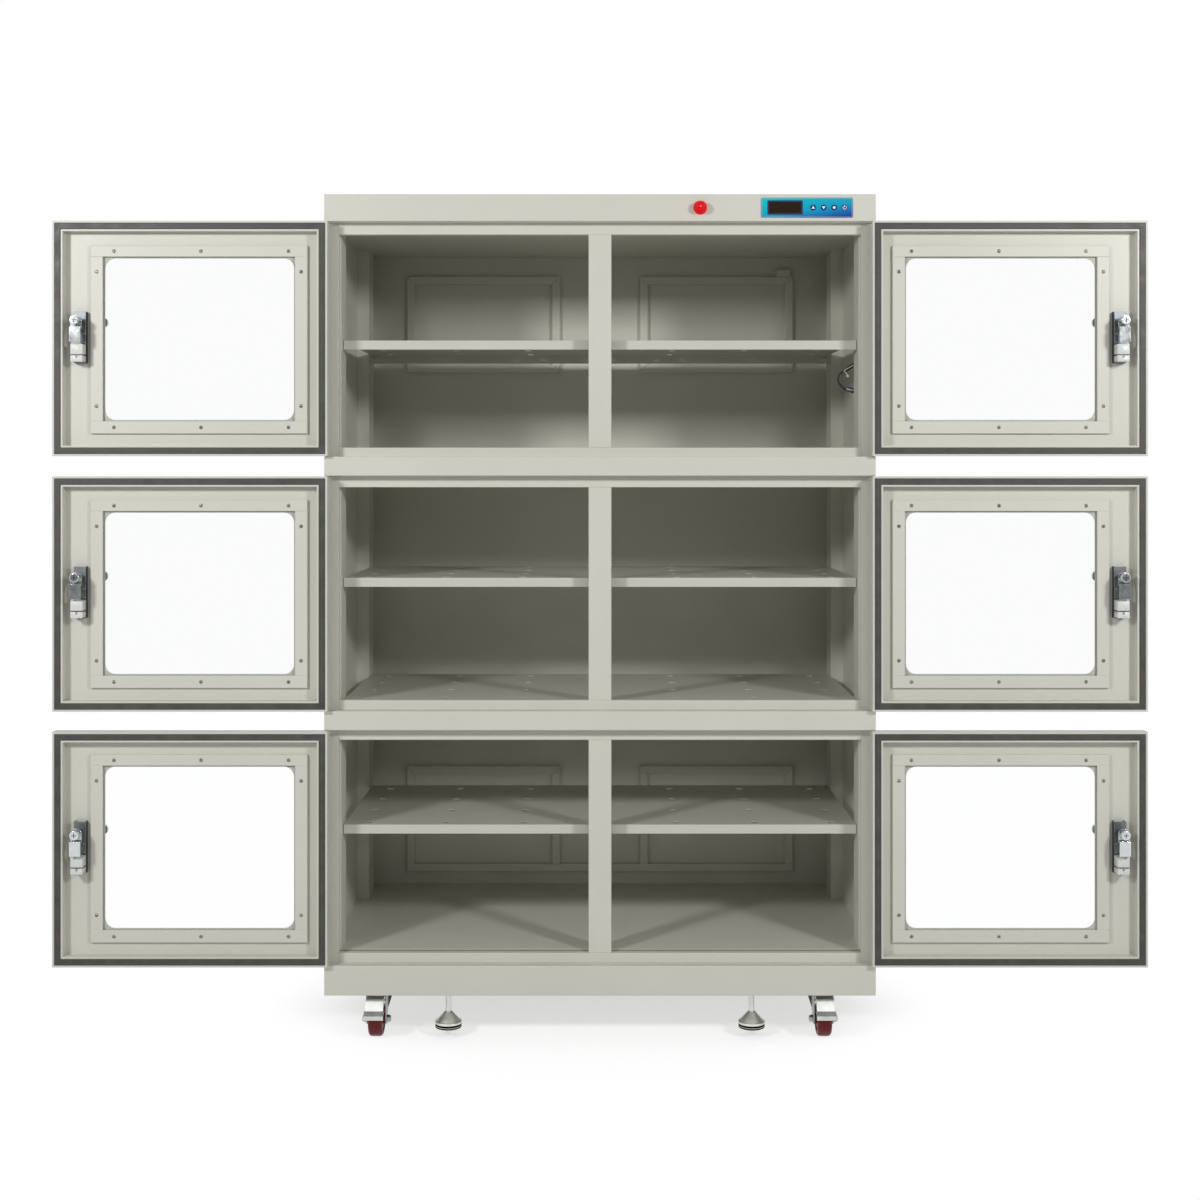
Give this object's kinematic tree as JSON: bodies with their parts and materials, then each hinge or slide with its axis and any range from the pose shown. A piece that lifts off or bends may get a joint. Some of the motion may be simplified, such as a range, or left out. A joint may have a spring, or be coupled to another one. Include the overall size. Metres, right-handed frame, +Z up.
{
  "type": "dry cabinet",
  "caption": "Tall steel humidity-controlled storage cabinet with glazed side-hinged doors, perforated uprights, shelves, casters and levelling feet.",
  "frame": {"origin": "on the floor, under the middle of the box round the object with its doors open flat", "axes": "+X to the right when facing the doors, +Y from the front to the back, +Z up"},
  "size_m": [2.374, 0.768, 1.851],
  "materials": {
    "paint": "fine textured powder coat",
    "gasket": "matt",
    "clear_glass": "clear",
    "zinc": "bright zinc plated",
    "bright_steel": "turned and nickel plated",
    "overlay": "satin printed film",
    "key_blue": "satin printed film",
    "lamp_red": "translucent",
    "black_plastic": "moulded",
    "lead_grey": "extruded",
    "wheel_red": "cast polyurethane"
  },
  "bodies": {
    "root": {"outer_casing": "paint", "front_frame": "paint", "shelf_uprights": "paint", "shelves": "paint", "duct_frames": "paint", "drying_units": "paint", "power_inlet": "black_plastic", "undercarriage": "zinc", "control_panel": "overlay", "alarm_lamp": "lamp_red", "humidity_sensor": "black_plastic", "sensor_lead": "lead_grey"},
    "lower_left_door": {"lower_left_door": "paint", "lower_left_gasket": "gasket", "lower_left_glass": "clear_glass", "lower_left_latch_body": "zinc"},
    "lower_left_latch": {"lower_left_latch_handle": "zinc"},
    "lower_right_door": {"lower_right_door": "paint", "lower_right_gasket": "gasket", "lower_right_glass": "clear_glass", "lower_right_latch_body": "zinc"},
    "lower_right_latch": {"lower_right_latch_handle": "zinc"},
    "middle_left_door": {"middle_left_door": "paint", "middle_left_gasket": "gasket", "middle_left_glass": "clear_glass", "middle_left_latch_body": "zinc"},
    "middle_left_latch": {"middle_left_latch_handle": "zinc"},
    "middle_right_door": {"middle_right_door": "paint", "middle_right_gasket": "gasket", "middle_right_glass": "clear_glass", "middle_right_latch_body": "zinc"},
    "middle_right_latch": {"middle_right_latch_handle": "zinc"},
    "upper_left_door": {"upper_left_door": "paint", "upper_left_gasket": "gasket", "upper_left_glass": "clear_glass", "upper_left_latch_body": "zinc"},
    "upper_left_latch": {"upper_left_latch_handle": "zinc"},
    "upper_right_door": {"upper_right_door": "paint", "upper_right_gasket": "gasket", "upper_right_glass": "clear_glass", "upper_right_latch_body": "zinc"},
    "upper_right_latch": {"upper_right_latch_handle": "zinc"},
    "front_left_caster": {"front_left_caster_fork": "zinc"},
    "front_left_wheel": {"front_left_caster_wheel": "wheel_red"},
    "front_left_brake": {"front_left_brake_pedal": "zinc"},
    "front_right_caster": {"front_right_caster_fork": "zinc"},
    "front_right_wheel": {"front_right_caster_wheel": "wheel_red"},
    "front_right_brake": {"front_right_brake_pedal": "zinc"},
    "rear_left_caster": {"rear_left_caster_fork": "zinc"},
    "rear_left_wheel": {"rear_left_caster_wheel": "wheel_red"},
    "rear_right_caster": {"rear_right_caster_fork": "zinc"},
    "rear_right_wheel": {"rear_right_caster_wheel": "wheel_red"},
    "front_left_foot": {"front_left_foot": "bright_steel"},
    "front_right_foot": {"front_right_foot": "bright_steel"},
    "rear_left_foot": {"rear_left_foot": "bright_steel"},
    "rear_right_foot": {"rear_right_foot": "bright_steel"},
    "up_key": {"up_key": "key_blue"},
    "down_key": {"down_key": "key_blue"},
    "set_key": {"set_key": "key_blue"},
    "power_key": {"power_key": "key_blue"}
  },
  "joints": [
    {"name": "lower_left_door_hinge", "type": "hinge", "parent": "root", "child": "lower_left_door", "pos_m": [-0.5945, -0.328, 0.428], "axis": [0, 0, 1], "range_deg": [0, 180]},
    {"name": "lower_left_latch_turn", "type": "hinge", "parent": "lower_left_door", "child": "lower_left_latch", "pos_m": [-1.13, -0.35, 0.465], "axis": [0, 1, 0], "range_deg": [0, 90]},
    {"name": "lower_right_door_hinge", "type": "hinge", "parent": "root", "child": "lower_right_door", "pos_m": [0.5945, -0.328, 0.428], "axis": [0, 0, -1], "range_deg": [0, 180]},
    {"name": "lower_right_latch_turn", "type": "hinge", "parent": "lower_right_door", "child": "lower_right_latch", "pos_m": [1.13, -0.35, 0.465], "axis": [0, -1, 0], "range_deg": [0, 90]},
    {"name": "middle_left_door_hinge", "type": "hinge", "parent": "root", "child": "middle_left_door", "pos_m": [-0.5945, -0.328, 0.982], "axis": [0, 0, 1], "range_deg": [0, 180]},
    {"name": "middle_left_latch_turn", "type": "hinge", "parent": "middle_left_door", "child": "middle_left_latch", "pos_m": [-1.13, -0.35, 1.019], "axis": [0, 1, 0], "range_deg": [0, 90]},
    {"name": "middle_right_door_hinge", "type": "hinge", "parent": "root", "child": "middle_right_door", "pos_m": [0.5945, -0.328, 0.982], "axis": [0, 0, -1], "range_deg": [0, 180]},
    {"name": "middle_right_latch_turn", "type": "hinge", "parent": "middle_right_door", "child": "middle_right_latch", "pos_m": [1.13, -0.35, 1.019], "axis": [0, -1, 0], "range_deg": [0, 90]},
    {"name": "upper_left_door_hinge", "type": "hinge", "parent": "root", "child": "upper_left_door", "pos_m": [-0.5945, -0.328, 1.536], "axis": [0, 0, 1], "range_deg": [0, 180]},
    {"name": "upper_left_latch_turn", "type": "hinge", "parent": "upper_left_door", "child": "upper_left_latch", "pos_m": [-1.13, -0.35, 1.573], "axis": [0, 1, 0], "range_deg": [0, 90]},
    {"name": "upper_right_door_hinge", "type": "hinge", "parent": "root", "child": "upper_right_door", "pos_m": [0.5945, -0.328, 1.536], "axis": [0, 0, -1], "range_deg": [0, 180]},
    {"name": "upper_right_latch_turn", "type": "hinge", "parent": "upper_right_door", "child": "upper_right_latch", "pos_m": [1.13, -0.35, 1.573], "axis": [0, -1, 0], "range_deg": [0, 90]},
    {"name": "front_left_caster_swivel", "type": "hinge", "parent": "root", "child": "front_left_caster", "pos_m": [-0.494, -0.234, 0.095], "axis": [0, 0, 1], "continuous": true},
    {"name": "front_left_wheel_spin", "type": "hinge", "parent": "front_left_caster", "child": "front_left_wheel", "pos_m": [-0.494, -0.268, 0.0375], "axis": [1, 0, 0], "continuous": true},
    {"name": "front_left_brake_press", "type": "hinge", "parent": "front_left_caster", "child": "front_left_brake", "pos_m": [-0.494, -0.272, 0.0795], "axis": [1, 0, 0], "range_deg": [0, 12]},
    {"name": "front_right_caster_swivel", "type": "hinge", "parent": "root", "child": "front_right_caster", "pos_m": [0.494, -0.234, 0.095], "axis": [0, 0, 1], "continuous": true},
    {"name": "front_right_wheel_spin", "type": "hinge", "parent": "front_right_caster", "child": "front_right_wheel", "pos_m": [0.494, -0.268, 0.0375], "axis": [1, 0, 0], "continuous": true},
    {"name": "front_right_brake_press", "type": "hinge", "parent": "front_right_caster", "child": "front_right_brake", "pos_m": [0.494, -0.272, 0.0795], "axis": [1, 0, 0], "range_deg": [0, 12]},
    {"name": "rear_left_caster_swivel", "type": "hinge", "parent": "root", "child": "rear_left_caster", "pos_m": [-0.494, 0.262, 0.095], "axis": [0, 0, 1], "continuous": true},
    {"name": "rear_left_wheel_spin", "type": "hinge", "parent": "rear_left_caster", "child": "rear_left_wheel", "pos_m": [-0.494, 0.296, 0.0375], "axis": [1, 0, 0], "continuous": true},
    {"name": "rear_right_caster_swivel", "type": "hinge", "parent": "root", "child": "rear_right_caster", "pos_m": [0.494, 0.262, 0.095], "axis": [0, 0, 1], "continuous": true},
    {"name": "rear_right_wheel_spin", "type": "hinge", "parent": "rear_right_caster", "child": "rear_right_wheel", "pos_m": [0.494, 0.296, 0.0375], "axis": [1, 0, 0], "continuous": true},
    {"name": "front_left_foot_screw", "type": "slide", "parent": "root", "child": "front_left_foot", "axis": [0, 0, 1], "range_m": [-0.045, 0.03]},
    {"name": "front_right_foot_screw", "type": "slide", "parent": "root", "child": "front_right_foot", "axis": [0, 0, 1], "range_m": [-0.045, 0.03]},
    {"name": "rear_left_foot_screw", "type": "slide", "parent": "root", "child": "rear_left_foot", "axis": [0, 0, 1], "range_m": [-0.045, 0.03]},
    {"name": "rear_right_foot_screw", "type": "slide", "parent": "root", "child": "rear_right_foot", "axis": [0, 0, 1], "range_m": [-0.045, 0.03]},
    {"name": "up_key_press", "type": "slide", "parent": "root", "child": "up_key", "axis": [0, 1, 0], "range_m": [0, 0.0005], "stiffness_N_per_m": 1500},
    {"name": "down_key_press", "type": "slide", "parent": "root", "child": "down_key", "axis": [0, 1, 0], "range_m": [0, 0.0005], "stiffness_N_per_m": 1500},
    {"name": "set_key_press", "type": "slide", "parent": "root", "child": "set_key", "axis": [0, 1, 0], "range_m": [0, 0.0005], "stiffness_N_per_m": 1500},
    {"name": "power_key_press", "type": "slide", "parent": "root", "child": "power_key", "axis": [0, 1, 0], "range_m": [0, 0.0005], "stiffness_N_per_m": 1500}
  ]
}
